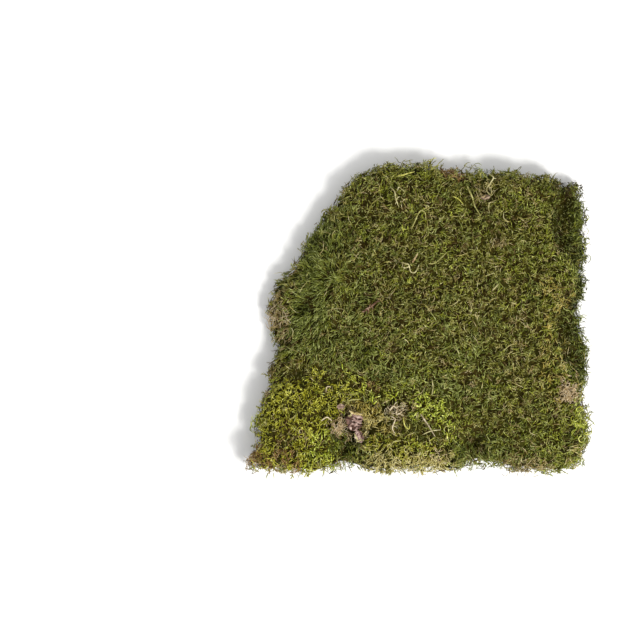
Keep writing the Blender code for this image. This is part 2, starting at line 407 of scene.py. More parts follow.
def addCore():
    # the clump's own surface drawn in along its normals, with its underside kept level
    x, y, z = matPoints.T
    fade = smooth(0.0, coreValues["fadeBelow"], z)[:, None]
    rough = coreValues["roughness"] * drift(x, y, coreValues["patch"], 5)[:, None]
    points = matPoints - matNormals * (coreValues["depth"] + rough) * fade
    low = z < 0.5 * mm
    flat = matPoints[low, :2]
    away = np.linalg.norm(flat, axis=1, keepdims=True)
    points[low, :2] = flat * (1.0 - coreValues["drawnIn"] / away)
    points[low, 2] = coreValues["lift"]
    core = meshPiece("moss_core", points, matTriangles, coreFinish(), rounded=True)
    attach(core, "root")
    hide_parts("moss_mat")


addCore()


print("shoots")
# Each zone is a list of runs: ends in millimetres from the clump's middle, half width, strength
zones = {
    "green": [(-98, 88, -110, 40, 22, 0.85), (-112, 36, -128, -8, 20, 0.95),
              (-112, 6, -108, -30, 18, 0.75),
              (-91, -29, -35, -52, 18, 0.60), (-35, -52, 22, -70, 16, 0.60), (-56, 14, -36, -2, 10, 0.35),
              (-25, -14, -10, -34, 8, 0.35),
              (-70, 60, -60, 0, 24, 0.25), (168, 120, 172, -70, 8, 0.65), (120, -126, 146, -142, 20, 0.45),
              (74, -138, 134, -146, 13, 0.65), (30, -72, 60, -86, 13, 0.50),
              (-77, -130, -79, -152, 12, 0.85), (46, -140, 66, -150, 12, 0.60), (8, -118, 40, -132, 9, 0.35),
              (142, -54, 156, -70, 8, 0.45), (158, -56, 162, -84, 6, 0.60),
              (162, -98, 166, -126, 8, 0.55), (52, -34, 62, -64, 10, 0.50),
              (22, -4, 36, -34, 8, 0.35), (-4, -138, -2, -144, 6, 0.60)],
    "yellow": [(-50, -131, 8, -134, 9, 0.75), (-142, -114, -106, -94, 34, 0.95),
               (-150, -142, -95, -145, 22, 0.95), (-101, -85, -68, -74, 13, 0.75),
               (-38, -70, -33, -78, 6, 0.85),
               (-140, -76, -118, -74, 12, 0.95), (2, -98, 10, -100, 6, 0.45), (-18, -141, -5, -145, 8, 0.80)],
    "fresh": [(125, 121, 146, -65, 22, 0.32), (128, 72, 160, 42, 12, 0.60), (92, 58, 103, 44, 7, 0.50),
              (-82, 38, -76, 28, 8, 0.45), (14, -100, 30, -128, 10, 0.60), (-58, 140, -22, 135, 14, 0.30),
              (14, 84, 44, 40, 14, 0.20), (130, -127, 130, -127, 30, 0.40), (-19, 145, 22, 145, 16, 0.45),
              (82, 124, 96, 112, 8, 0.40), (-10, -20, -4, -62, 10, 0.30), (84, -82, 98, -94, 8, 0.40),
              (120, -4, 138, -28, 9, 0.40), (42, 118, 60, 94, 9, 0.35), (-8, 50, 0, 36, 7, 0.40),
              (38, -106, 50, -114, 7, 0.50)],
    "lime": [(-3, -86, 20, -95, 12, 0.85), (28, -104, 34, -124, 7, 0.70),
             (-14, -132, 10, -139, 8, 0.40), (-104, -130, -110, -142, 9, 0.5),
             (158, -97, 165, -125, 7.5, 0.25), (-92, -138, -100, -128, 12, 0.5),
             (-96, -143, -114, -147, 9, 0.45),
             (-66, -66, -50, -84, 10, 0.35), (-50, -88, -20, -78, 9, 0.35)],
    "pale": [(-48, -149, -27, -150, 9.5, 0.95), (-24, -153, -4, -154, 6, 0.90),
             (-2, -149, 28, -150, 9.5, 0.95), (20, -128, 30, -118, 6, 0.3),
             (90, -32, 98, -66, 7, 0.22)],
    "beige": [(150, -84, 154, -72, 9.5, 1.0), (-86, -113, -78, -106, 6, 0.9)],
    "dead": [(-152, 20, -144, -24, 9, 0.75),
             (89, -153, 130, -153, 7, 0.65), (-168, -145, -148, -154, 12, 0.30),
             (-24, 62, -8, 50, 6, 0.35), (-146, -112, -126, -128, 10, 0.25), (77, 74, 77, 74, 6, 0.6),
             (-71, -96, -57, -125, 9, 0.7), (-31, -100, -14, -91, 8, 0.7),
             (-50, -106, -46, -94, 9, 0.6)],
    "tan": [(-57, -98, -43, -112, 12, 1.0), (134, 30, 148, 20, 11, 0.50), (136, -2, 134, -80, 12, 0.22)],
    "cream": [(-34, -97, -19, -92, 4, 0.8)],
    "rust": [(32, 152, 42, 150, 6, 0.85), (-172, -140, -152, -156, 11, 0.62),
             (-138, -152, -130, -155, 8, 0.6), (-50, -71, -43, -69, 5, 0.7),
             (-139, -134, -130, -140, 6, 0.35)],
}

# the share of other kinds among the olive ones, in soft patches of their own
strewn = {"fresh": 0.11, "dead": 0.05, "green": 0.10, "brown": 0.05, "pale": 0.02}
# main stem's length and radius in millimetres, lift in degrees, four tones from dark to bright,
# how far leaf tips stand out, and with fan the share that side shoots keep of their turn
kinds = {
    "olive": {"length": (5.5, 10.5), "radius": (0.46, 0.76), "lift": (12, 55), "leafy": 0.50,
              "tones": [(55, 57, 2), (105, 106, 31), (145, 144, 66), (210, 206, 144)]},
    "green": {"length": (8.5, 15.5), "radius": (0.42, 0.66), "lift": (8, 38), "leafy": 0.40, "fan": 0.55,
              "tones": [(48, 58, 4), (94, 105, 30), (138, 148, 70), (200, 207, 136)]},
    "yellow": {"length": (5.0, 9.5), "radius": (0.50, 0.82), "lift": (18, 64), "leafy": 0.55,
               "tones": [(80, 79, 5), (149, 148, 24), (196, 196, 64), (228, 228, 126)]},
    "fresh": {"length": (5.5, 10.0), "radius": (0.50, 0.80), "lift": (16, 60), "leafy": 0.50,
              "tones": [(58, 64, 2), (112, 120, 24), (156, 163, 54), (208, 213, 128)]},
    "lime": {"length": (7.0, 13.0), "radius": (0.62, 0.98), "lift": (22, 68), "leafy": 0.48,
             "tones": [(56, 64, 6), (128, 140, 26), (192, 202, 70), (238, 242, 148)]},
    "pale": {"length": (6.0, 10.5), "radius": (0.46, 0.70), "lift": (8, 45), "leafy": 0.28,
             "tones": [(104, 96, 36), (166, 156, 82), (208, 198, 132), (232, 224, 174)]},
    "dead": {"length": (6.0, 11.0), "radius": (0.36, 0.58), "lift": (4, 34), "leafy": 0.18,
             "tones": [(82, 66, 26), (134, 117, 68), (176, 160, 112), (212, 200, 160)]},
    "beige": {"length": (6.0, 10.0), "radius": (0.36, 0.56), "lift": (4, 30), "leafy": 0.16,
              "tones": [(120, 94, 60), (181, 155, 116), (215, 194, 160), (236, 223, 196)]},
    "rust": {"length": (6.0, 10.0), "radius": (0.42, 0.62), "lift": (8, 40), "leafy": 0.22,
             "tones": [(72, 49, 19), (124, 93, 51), (162, 132, 86), (200, 178, 130)]},
    "tan": {"length": (5.0, 9.0), "radius": (0.34, 0.54), "lift": (4, 30), "leafy": 0.16,
            "tones": [(110, 94, 26), (169, 151, 66), (202, 187, 104), (223, 212, 150)]},
    "cream": {"length": (3.5, 6.5), "radius": (0.34, 0.54), "lift": (4, 50), "leafy": 0.16,
              "tones": [(118, 98, 70), (184, 166, 132), (214, 200, 168), (234, 224, 198)]},
    "brown": {"length": (6.0, 11.0), "radius": (0.38, 0.60), "lift": (0, 26), "leafy": 0.16,
              "tones": [(38, 30, 12), (70, 56, 28), (102, 86, 50), (144, 126, 84)]},
}
# Pits among the shoots, where their tips sit lower and are painted darker as painted shade, and mounds,
# whose depth is below 0, where the tips sit higher and are painted brighter as painted light: middle,
# reach and depth in millimetres
pits = [
    (32, -90, 6, 4.5), (62, -121, 8, 4.5), (20, -122, 7, 4.5), (-43, -66, 5, 4.5), (-73, -115, 6, 4.5),
    (80, 2, 6, 2.5), (-56, -46, 9, 1.2), (-110, -24, 9, 1.2), (-97, 52, 7, 1.8), (-64, 18, 7, -0.8),
    (-37, -90, 5, -1.2), (-49, -116, 6, -1.5), (130, 134, 8, 3.5), (-155, -121, 6, 4.0),
    (-163, -143, 5, 4.0), (-139, -119, 5, 3.0), (-8, -80, 5, 3.5), (-20, -106, 6, 3.0),
    (159, -115, 9, 4.5), (-80, -75, 6, -2.0), (-7, -136, 8, -1.5), (20, -136, 6, 4.5),
    (-62, -98, 4, 3.0), (-118, 14, 7, 4.5), (-105, 82, 8, 4.5), (50, -134, 8, 4.5), (71, 144, 5, 4.5),
    (90, 103, 4, 4.5), (-79, -142, 11, 4.5), (-4, -118, 4, 4.0), (24, 6, 4, 4.5), (76, -92, 4, 1.5),
    (-126, -62, 5, 4.5), (110, 40, 4, 4.5), (150, 118, 5, 3.5), (164, -16, 6, 3.5),
    (-49, -104, 11, -2.4), (-26, -94, 7, -2.0), (-24, -149, 8, -1.2), (14, -149, 10, -1.2),
    (-36, -74, 5, -1.5), (-52, -89, 6, 4.5), (-86, -102, 5, 3.5), (-85, -122, 6, 4.0), (6, 14, 7, 3.5),
    (80, 66, 6, 2.5), (-113, -80, 5, 3.0), (-85, -82, 6, -1.5), (-88, -134, 9, 4.5), (-21, 80, 6, 2.5),
    (-72, 87, 7, 2.5), (108, 87, 7, 2.5), (11, 146, 6, 2.5), (64, 138, 6, 4.5), (-4, -141, 5, 3.0),
    (-53, -112, 6, -2.0), (-130, 4, 5, 3.0), (-133, -79, 8, -2.4), (100, -118, 28, 0.7),
]
# where the top ends and the low right ledge begins, past which the shoots are painted darker, partly the
# ledge's own dark green and partly painted shade: x and y in millimetres, from the front
ledgeLine = [(168, -75), (158, -55), (147, -39), (142, -24), (140, -3), (148, 14), (164, 28),
             (161, 57), (146, 67), (137, 81), (136, 105), (140, 131)]
# short fat shoot ends that stand out: how many and in which zone, then as for the kinds
buds = {
    "bright": {"count": 300, "zone": None, "length": (3.5, 6.5), "radius": (0.62, 0.98), "lift": (20, 75),
               "leafy": 0.50, "tones": [(78, 84, 12), (130, 138, 42), (174, 181, 88), (216, 220, 148)]},
    "lime": {"count": 80, "zone": "lime", "length": (5.0, 9.0), "radius": (0.85, 1.25), "lift": (12, 60),
             "leafy": 0.50, "tones": [(78, 90, 8), (142, 160, 32), (196, 210, 74), (240, 244, 152)]},
}
# how many fronds and single shoots, the most of them in one piece, and how far their tips stand
# out from the solid's surface, less in soft sunken patches and near litter
fieldValues = {
    "fronds": 5000,
    "frondsEach": 1700,
    "singles": 14200,
    "singlesEach": 8500,
    "singleSteps": 5,
    "singleWidth": (0.8, 1.1),
    "flankShare": 0.55,
    "topAbove": 0.35,
    "tipOut": (-4.4, 1.3),
    "budOut": (-0.2, 1.4),
    "patchSpan": 13.0 * mm,
    "patchDepth": 3.4,
    "litterReach": 3.0 * mm,
    "litterDepth": 2.6 * mm,
    "zoneWander": 0.25,
    "zoneSpan": 24.0 * mm,
    "zoneFades": (0.5, 1.35),
    "strewnSpan": 32.0 * mm,
    "brownBelow": (5.0 * mm, 14.0 * mm),
    "growUp": 0.6,
    "sway": 0.15,
    "arch": (-0.12, 0.16),
    "lowest": 1.2 * mm,
}
# a frond's side shoots: their places from its root, and their length, turn, rise and width
frondValues = {
    "steps": 6,
    "sides": 5,
    "sideSteps": 4,
    "sideFrom": 0.16,
    "sideOver": 0.80,
    "sideLength": 0.60,
    "sideChance": (0.50, 1.45),
    "sideTurn": (14.0, 84.0),
    "sideRise": (-0.20, 0.85),
    "sideWidth": (0.70, 1.10),
    "sideTone": 0.42,
    "ahead": 0.12,
    "bow": 0.11,
}
# how far near neighbours head alike, and how strongly the left flank is combed from one place
headingValues = {
    "broadSpan": 34.0 * mm,
    "fineSpan": 15.0 * mm,
    "fineShare": 0.7,
    "neighbours": 0.55,
    "combFrom": (-84.0 * mm, 38.0 * mm),
    "combEdge": 55.0 * mm,
    "combFade": 40.0 * mm,
    "combShare": 1.9,
    "combOther": 0.45,
}
# what makes a shoot bright or dark, each as a share of the way along its four tones: chance and patches;
# painted shade on shoots whose tips lie low, in the pits and partly on the ledge; painted light on the mounds
toneValues = {
    "spans": (30.0 * mm, 9.0 * mm),
    # outFrom and height: painted shade on shoots whose tips lie low among the others, painted light on those
    # that stand out
    "outFrom": (-5.5 * mm, 1.5 * mm),
    # ledgeFrom, ledgeEases, ledgeStarts and the ledge weight below: darkening past the ledge line, partly the
    # ledge's own dark green and partly painted shade, easing towards its outer edge
    "ledgeFrom": (-2.0 * mm, 6.0 * mm),
    "ledgeEases": (14.0 * mm, 26.0 * mm),
    "ledgeStarts": (-76.0 * mm, -56.0 * mm),
    "least": 0.06,
    "chance": 0.40,
    "patch": 0.26,
    "height": 0.26,
    "ledgeShadeAndTint": 0.70,
    # painted shade in the pits and painted light on the mounds, by their depth
    "pitAndMoundShading": 0.11 / mm,
}


def runMask(x, y, ends):
    # 1 along a run, falling to 0 past its half width, with a wandering edge
    ax, ay, bx, by, half, strength = ends
    ax, ay, bx, by, half = (v * mm for v in (ax, ay, bx, by, half))
    dx, dy = bx - ax, by - ay
    t = np.clip(((x - ax) * dx + (y - ay) * dy) / max(dx * dx + dy * dy, 1e-12), 0.0, 1.0)
    away = np.hypot(x - ax - t * dx, y - ay - t * dy)
    away = away * (1.0 + fieldValues["zoneWander"] * drift(x, y, fieldValues["zoneSpan"], 11))
    return strength * (1.0 - smooth(*fieldValues["zoneFades"], away / half))


def pitDepth(x, y):
    # the sum of one bell curve for each pit or mound
    bells = [depth * mm * np.exp(-((x - px * mm) ** 2 + (y - py * mm) ** 2) / (reach * mm) ** 2)
             for px, py, reach, depth in pits]
    return np.sum(bells, axis=0)


def nearLitter(x, y):
    # 1 at a piece of litter, a bell curve of the distance to its nearest point
    near = np.empty(len(x))
    for some in np.array_split(np.arange(len(x)), len(x) // 1000 + 1):
        square = squares(x[some], y[some], litterPoints).min(1)
        near[some] = np.exp(-square / fieldValues["litterReach"] ** 2)
    return near


def zoneMask(x, y, name):
    # the strongest of a zone's runs at each place
    return np.max([runMask(x, y, ends) for ends in zones[name]], axis=0)


def kindAt(place):
    # draws a kind for each shoot, with odds that follow the zones
    x, y, z = place.T
    names = np.array([*strewn, "olive"])
    span = fieldValues["strewnSpan"]
    patches = [share * np.maximum(1.0 + 2.0 * drift(x, y, span, 51 + number), 0.0)
               for number, share in enumerate(strewn.values())]
    kind = names[(rng.random(len(place)) > np.cumsum(patches, axis=0)).sum(0)].astype("<U8")
    for name in zones:
        taken = rng.random(len(place)) < zoneMask(x, y, name)
        kind[taken] = name
    low, high = fieldValues["brownBelow"]
    kind[rng.random(len(place)) > smooth(low, high, z)] = "brown"
    return kind


def headings(place, facing, kind):
    # a way along the surface: part chance, part shared with near neighbours, and on the left
    # flank fanned out from one place
    x, y = place[:, 0], place[:, 1]
    loose = rng.normal(size=(len(place), 3))
    fine = headingValues["fineShare"] * drift(x, y, headingValues["fineSpan"], 32)
    turn = math.pi * (drift(x, y, headingValues["broadSpan"], 31) + fine)
    shared = np.column_stack([np.cos(turn), np.sin(turn), np.zeros(len(place))])
    fan = place[:, :2] - np.array(headingValues["combFrom"])
    comb = np.column_stack([unit(fan), np.zeros(len(place))])
    left = -(x + headingValues["combEdge"])
    share = headingValues["combShare"] * smooth(0.0, headingValues["combFade"], left)
    share = share * np.where(kind == "green", 1.0, headingValues["combOther"]) * (kind != "yellow")
    way = unit(loose) + headingValues["neighbours"] * shared + comb * share[:, None]
    way -= facing * (way * facing).sum(1, keepdims=True)
    return unit(way)


def between(low, high, count):
    # one chance value for each of count rows, as a column
    return rng.uniform(low, high, (count, 1))


def stemsFrom(place, facing, way, values, out):
    # root, bend and tip of a stem whose tip lies near the surface, and the ways it runs
    count = len(place)
    length = between(*values["length"], count) * mm
    lift = np.radians(between(*values["lift"], count))
    grow = unit(facing + fieldValues["growUp"] * upward)
    along = unit(way * np.cos(lift) + grow * np.sin(lift))
    aside = unit(np.cross(facing, along))
    tip = place + facing * out[:, None]
    root = tip - along * length
    sway = rng.normal(size=(count, 1)) * fieldValues["sway"]
    arch = between(*fieldValues["arch"], count)
    middle = (root + tip) / 2 + (aside * sway + grow * arch) * length
    return root, middle, tip, along, aside, length


def toneAt(place, out):
    # brighter at random in some patches; painted light on tips that stand out and painted shade on those that
    # lie low; painted shade in the pits and painted light on the mounds; darker on the low right ledge,
    # partly its own dark green and partly painted shade, most in the crease
    x, y = place[:, 0], place[:, 1]
    broad, fine = toneValues["spans"]
    patch = 0.5 + 0.25 * drift(x, y, broad, 21) + 0.25 * drift(x, y, fine, 22)
    # painted shade on shoots whose tips lie low, painted light on those that stand out
    level = smooth(*toneValues["outFrom"], out)
    # the low right ledge: darker past the ledge line, partly its own dark green and partly painted shade,
    # most in the crease and easing towards the outer edge
    edge, height = np.array(ledgeLine).T * mm
    past = x - np.interp(y, height, edge)
    eased = 1.0 - 0.50 * smooth(*toneValues["ledgeEases"], past)
    ledgeShadeAndTint = smooth(*toneValues["ledgeFrom"], past) * eased
    ledgeShadeAndTint = ledgeShadeAndTint * smooth(*toneValues["ledgeStarts"], y)
    chance = toneValues["chance"] * rng.random(len(place)) ** 1.2
    # painted shade on the ledge, partly its own dark green, and painted shade in the pits with painted light
    # on the mounds
    shade = toneValues["ledgeShadeAndTint"] * ledgeShadeAndTint + toneValues["pitAndMoundShading"] * pitDepth(x, y)
    bright = toneValues["least"] + chance + toneValues["patch"] * patch + toneValues["height"] * level
    return bright - shade


def growFronds(place, facing, way, values, out):
    # A frond is a stem with shorter side shoots, which leave it left and right in turn and
    # grow shorter towards its tip.
    root, middle, tip, along, aside, length = stemsFrom(place, facing, way, values, out)
    mains = bent(root, middle, tip, frondValues["steps"])
    count, sides = len(place), frondValues["sides"]
    number = np.arange(sides)
    t = frondValues["sideOver"] * (number + rng.uniform(0.1, 0.9, (count, sides))) / sides
    t = (frondValues["sideFrom"] + t)[..., None]
    start = (1 - t) ** 2 * root[:, None] + 2 * t * (1 - t) * middle[:, None] + t * t * tip[:, None]
    hand = np.where((number % 2).astype(bool), 1.0, -1.0)[:, None]
    turn = np.radians(rng.uniform(*frondValues["sideTurn"], (count, sides, 1)))
    turn = turn * hand * values.get("fan", 1.0)
    raised = rng.uniform(*frondValues["sideRise"], (count, sides, 1))
    heading = np.cos(turn) * along[:, None] + np.sin(turn) * aside[:, None] + raised * facing[:, None]
    chance = rng.uniform(*frondValues["sideChance"], (count, sides, 1))
    reach = length[:, None] * frondValues["sideLength"] * (1.2 - 0.7 * t) * chance
    end = start + unit(heading) * reach
    bow = rng.normal(size=(count, sides, 3)) * frondValues["bow"]
    half = (start + end) / 2 + (frondValues["ahead"] * along[:, None] + bow) * reach
    short = [part.reshape(-1, 3) for part in (start, half, end)]
    shoots = bent(*short, frondValues["sideSteps"])
    tone = toneAt(place, out)
    sideTone = np.repeat(tone, sides) + frondValues["sideTone"] * (rng.random(count * sides) - 0.45)
    radius = rng.uniform(*values["radius"], count) * mm
    sideRadius = np.repeat(radius, sides) * rng.uniform(*frondValues["sideWidth"], count * sides)
    first = clothe(mains, radius, values["leafy"], facing, tone)
    second = clothe(shoots, sideRadius, values["leafy"], np.repeat(facing, sides, 0), sideTone)
    return joined([first, second])


def growSingles(place, facing, way, values, out):
    # shoots without side shoots, which fill the field between the fronds
    root, middle, tip = stemsFrom(place, facing, way, values, out)[:3]
    paths = bent(root, middle, tip, fieldValues["singleSteps"])
    count = len(place)
    radius = rng.uniform(*values["radius"], count) * rng.uniform(*fieldValues["singleWidth"], count) * mm
    return clothe(paths, radius, values["leafy"], facing, toneAt(place, out))


def clothe(paths, radius, leafy, facing, tone, lowest=fieldValues["lowest"]):
    # strands with a chance turn about their own run, kept above the ground
    count = len(paths)
    paths[..., 2] = np.maximum(paths[..., 2], lowest)
    phase = anyTurn(count)
    reference = unit(facing + 0.3 * rng.normal(size=(count, 3)))
    return strands(paths, radius, np.full(count, leafy), phase, reference, np.clip(tone, 0.0, 1.0))


def joined(made):
    # several (points, triangles, marks) as one
    shift = np.cumsum([0] + [len(points) for points, _, _ in made])
    triangles = [faces + start for (_, faces, _), start in zip(made, shift)]
    points = np.concatenate([points for points, _, _ in made])
    mapped = made[0][2] is not None
    marks = np.concatenate([marks for _, _, marks in made]) if mapped else None
    return points, np.concatenate(triangles), marks


shootValues = {
    "roughness": 0.66,
    "specular": 0.12,
    "toneStops": (0.0, 0.36, 0.72, 1.0),
    # the root end's own brown with painted shade deep among the shoots
    "rootBrownAndShade": (0.34, 0.28, 0.03, 1.0),
    "rootShare": 0.72,
    "rootFades": (0.10, 0.78),
    # tip paling: fresh growth with a painted highlight
    "tipShare": 0.60,
    "tipFrom": 0.55,
}


def shootFinish(name, tones):
    # the tone picks the colour; the root end is browner, its own dead brown, and darker as painted shade deep
    # among the shoots; the tip is paler, its own fresh growth with a painted highlight
    finish = Finish("shoots_" + name, shootValues["roughness"], shootValues["specular"])
    marks = finish.node("ShaderNodeUVMap", {"uv_map": mapName})
    along = finish.node("ShaderNodeSeparateXYZ", None, {0: marks}, 0)
    tone = finish.node("ShaderNodeSeparateXYZ", None, {0: marks}, 1)
    stops = [(place, linear(*screen)) for place, screen in zip(shootValues["toneStops"], tones)]
    body = finish.node("ShaderNodeValToRGB", {"stops": stops}, {0: tone})
    # the root end's own brown and painted shade
    rootShare = (1.0 - finish.between(along, *shootValues["rootFades"])) * shootValues["rootShare"]
    shaded = finish.mix(rootShare, body, shootValues["rootBrownAndShade"], "MULTIPLY")
    # the tip's paler fresh growth and a painted highlight
    tipShare = finish.between(along, shootValues["tipFrom"], 1.0) * shootValues["tipShare"]
    finish.colour(finish.mix(tipShare, shaded, linear(*tones[3])))
    return finish


finishes = {name: shootFinish(name, values["tones"]) for name, values in kinds.items()}


def placePiece(title, made, finish, node):
    # makes the piece and ties it to the clump
    points, triangles, marks = made
    piece = meshPiece(title, points, triangles, finish, marks, rounded=True)
    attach(piece, "root")
    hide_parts(node)
    print("  ", title, len(triangles), "faces")


def addShoots(grow, count, most, label):
    # places of all the shoots of one form, then one piece or more for each kind
    weight = np.where(matUpward > fieldValues["topAbove"], 1.0, fieldValues["flankShare"])
    place, facing = spread(count, np.where(underneath, 0.0, weight))
    kind = kindAt(place)
    way = headings(place, facing, kind)
    x, y, _ = place.T
    out = rng.uniform(*fieldValues["tipOut"], len(place)) * mm
    sunk = smooth(0.55, 1.1, drift(x, y, fieldValues["patchSpan"], 41))
    out = out - sunk * fieldValues["patchDepth"] * mm
    out = out - pitDepth(x, y)
    out = out - nearLitter(x, y) * fieldValues["litterDepth"]
    for name, values in kinds.items():
        chosen = np.flatnonzero(kind == name)
        if not len(chosen):
            continue
        chosen = chosen[np.argsort(place[chosen, 0], kind="stable")]
        parts = max(1, math.ceil(len(chosen) / most))
        for number, some in enumerate(np.array_split(chosen, parts), 1):
            made = grow(place[some], facing[some], way[some], values, out[some])
            title = f"{label}_{name}_{number}" if parts > 1 else f"{label}_{name}"
            placePiece(title, made, finishes[name], "moss_mat")


def addBuds(name, values):
    # single shoots, most of them where the zone is strong
    count = values["count"]
    x, y, _ = matPoints[matTriangles].mean(1).T
    share = zoneMask(x, y, values["zone"]) ** 2 if values["zone"] else np.ones(len(x))
    place, facing = spread(count, np.where(matUpward > fieldValues["topAbove"], share, 0.0))
    way = headings(place, facing, np.full(count, "olive"))
    made = growSingles(place, facing, way, values, rng.uniform(*fieldValues["budOut"], count) * mm)
    placePiece("buds_" + name, made, shootFinish("buds_" + name, values["tones"]), "moss_mat")


for name, values in buds.items():
    addBuds(name, values)
addShoots(growFronds, fieldValues["fronds"], fieldValues["frondsEach"], "fronds")
addShoots(growSingles, fieldValues["singles"], fieldValues["singlesEach"], "shoots")


print("litter")
# finish, and tube radius as a share of the solid's
stems = {
    "straw_long": ("sage", 1.0), "straw_top": ("yellow", 1.0), "straw_yellow": ("sage", 1.0),
    "straw_looped": ("cream", 0.88), "straw_middle": ("sage", 1.0), "straw_cream": ("cream", 1.0),
    "straw_upright": ("cream", 0.9), "straw_low": ("sage", 1.0), "straw_ledge": ("sage", 1.0),
    "straw_crossing": ("cream", 0.9), "straw_short": ("yellow", 1.0), "straw_arc": ("root", 1.0),
    "straw_hooked": ("root", 1.0), "stem_pale": ("cream", 0.82), "stem_arched": ("cream", 0.82),
    "stem_curly": ("cream", 1.0), "stem_bent": ("cream", 0.9), "stem_hook": ("yellow", 0.9),
    "root_knot": ("root", 1.0), "root_arc": ("root", 1.0), "sheath_red": ("sheath", 1.1),
    "twig_red": ("red", 1.6), "twig_grey": ("grey", 1.25),
}
# Side twigs: place along the stem from 0 at its left end to 1, heading in degrees, length in
# millimetres, and radius as a share of the stem's
forks = {
    "stem_pale": [(0.74, 42.0, 4.8, 1.35), (0.06, 130.0, 3.5, 0.7)],
    "straw_looped": [(0.24, 158.0, 6.0, 1.2), (0.06, 262.0, 5.0, 1.1), (0.32, 192.0, 7.0, 1.1)],
    "straw_top": [(0.16, 200.0, 4.0, 0.7)],
    "stem_curly": [(0.30, 5.0, 4.0, 0.7), (0.52, 320.0, 4.5, 0.6), (0.74, 205.0, 3.5, 0.7)],
    "twig_red": [(0.12, 205.0, 4.5, 0.9), (0.30, 262.0, 5.5, 0.8), (0.45, 80.0, 3.5, 0.7),
                 (0.62, 275.0, 4.5, 0.6), (0.85, 20.0, 5.0, 0.8)],
    "root_knot": [(0.10, 125.0, 5.0, 0.6), (0.30, 50.0, 6.0, 0.6), (0.45, 15.0, 7.0, 0.5),
                  (0.62, 205.0, 5.0, 0.6), (0.85, 335.0, 6.0, 0.6)],
    "root_arc": [(0.30, 190.0, 5.0, 0.5), (0.62, 340.0, 5.0, 0.5)],
}
litterTones = {
    "sage": [(88, 84, 32), (144, 140, 76), (184, 179, 116)],
    "yellow": [(100, 96, 26), (164, 160, 66), (204, 200, 118)],
    "cream": [(104, 94, 54), (170, 162, 110), (208, 202, 156)],
    "root": [(124, 104, 78), (190, 174, 140), (224, 212, 184)],
    "sheath": [(84, 58, 30), (148, 124, 82), (198, 180, 136)],
    "red": [(50, 28, 14), (94, 62, 40), (162, 140, 116)],
    "umber": [(38, 22, 16), (74, 48, 38), (120, 88, 74)],
    "grey": [(98, 88, 66), (156, 143, 114), (198, 186, 158)],
    "mauve": [(84, 54, 48), (150, 120, 110), (206, 186, 174)],
    "dusk": [(72, 54, 42), (124, 102, 84), (170, 147, 126)],
    "tan": [(104, 84, 40), (166, 146, 92), (206, 192, 146)],
    "beige": [(120, 98, 70), (180, 158, 128), (220, 204, 178)],
}
stemValues = {
    "corners": 6,
    "ringsPerRun": 6,
    "sides": 9,
    "knots": 0.10,
    "taper": 0.35,
    "forkSteps": 6,
    "forkSides": 7,
    "forkTip": 0.5,
    "forkRise": 0.22,
    "forkBow": 0.16,
}
litterValues = {
    "roughness": 0.58,
    "specular": 0.3,
    "streak": 900.0,
    "spot": 260.0,
    "toneFrom": (0.36, 0.62),
    "bump": 0.15 * mm,
    "bumpStrength": 0.6,
}


def litterFinish(name):
    # three tones picked by fine and broad noise, with a low bump of the fine one
    finish = Finish("litter_" + name, litterValues["roughness"], litterValues["specular"])
    fine = finish.noise(litterValues["streak"], 4.0)
    broad = finish.noise(litterValues["spot"], 2.0)
    share = finish.between(fine * 0.5 + broad * 0.5, *litterValues["toneFrom"])
    stops = [(place, linear(*screen)) for place, screen in zip((0.0, 0.5, 1.0), litterTones[name])]
    finish.colour(finish.node("ShaderNodeValToRGB", {"stops": stops}, {0: share}))
    finish.bump(fine, litterValues["bump"], litterValues["bumpStrength"])
    return finish


litterFinishes = {name: litterFinish(name) for name in litterTones}


def spine(name):
    # The middle line and radius of a round stem, from its left end. Its points are put in order
    # of their way along the surface from one end, six to a ring. Any two points' way is the
    # shortest sum of two ways that meet, taken seven times over.
    points, triangles, _, _ = readSurface(name)
    count = len(points)
    way = np.full((count, count), 1.0)
    np.fill_diagonal(way, 0.0)
    for a, b in ((0, 1), (1, 2), (2, 0)):
        first, second = triangles[:, a], triangles[:, b]
        gap = np.linalg.norm(points[first] - points[second], axis=1)
        way[first, second] = gap
        way[second, first] = gap
    for _ in range(7):
        way = (way[:, :, None] + way[None]).min(1)
    order = np.argsort(way[np.argmax(way[0])])
    rings = points[order].reshape(-1, stemValues["corners"], 3)
    if rings[0, :, 0].mean() > rings[-1, :, 0].mean():
        rings = rings[::-1]
    middle = rings.mean(1)
    return middle, np.linalg.norm(rings - middle[:, None], axis=2).mean(1)


def smoothLine(points, perRun):
    # the Catmull-Rom curve through rows of values, perRun rows from each to the next
    ends = np.concatenate([2 * points[:1] - points[1:2], points, 2 * points[-1:] - points[-2:-1]])
    a, b, c, d = (ends[n:len(ends) - 3 + n, None] for n in range(4))
    t = (np.arange(perRun) / perRun)[:, None]
    run = b + 0.5 * ((c - a) * t + (2 * a - 5 * b + 4 * c - d) * t**2 + (3 * b - a - 3 * c + d) * t**3)
    return np.concatenate([run.reshape(-1, points.shape[1]), points[-1:]])


def roundTube(centre, radius, sides):
    # rings round a line, closed by a point at each end
    run = unit(np.gradient(centre, axis=0))
    side = unit(np.cross(run, upward + 0.01))
    over = np.cross(run, side)
    angle = np.arange(sides) * 2.0 * math.pi / sides
    ring = np.cos(angle)[:, None] * side[:, None] + np.sin(angle)[:, None] * over[:, None]
    wall = (centre[:, None] + ring * radius[:, None, None]).reshape(-1, 3)
    ends = np.stack([centre[0] - run[0] * radius[0] * 0.6, centre[-1] + run[-1] * radius[-1] * 0.6])
    around = np.arange(sides)
    onward = (around + 1) % sides
    end = len(wall)
    first = np.stack([np.full(sides, end), onward, around], -1)
    final = np.stack([np.full(sides, end + 1), end - sides + around, end - sides + onward], -1)
    return np.concatenate([wall, ends]), np.concatenate([bands(len(centre), sides), first, final])


